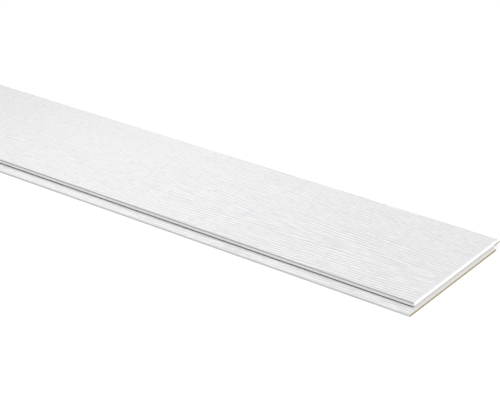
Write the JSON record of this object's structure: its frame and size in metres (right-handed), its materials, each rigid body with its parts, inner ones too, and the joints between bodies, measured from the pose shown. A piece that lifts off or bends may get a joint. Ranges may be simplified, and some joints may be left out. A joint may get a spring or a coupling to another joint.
{
  "type": "decorative panel",
  "caption": "Flat tongue-and-groove wall and ceiling panel with a white embossed wood-grain face, bevelled edges and a wide back lip for fixing along one long edge.",
  "frame": {"origin": "on the back face, under the middle of the decorative face", "axes": "+X along the length towards the groove end, +Y across the width towards the tongue edge, +Z out of the decorative face"},
  "size_m": [1.305, 0.2194, 0.01],
  "materials": {
    "panel": "matt white foil with embossed wood grain over fibreboard"
  },
  "bodies": {
    "root": {"panel": "panel"}
  },
  "joints": []
}
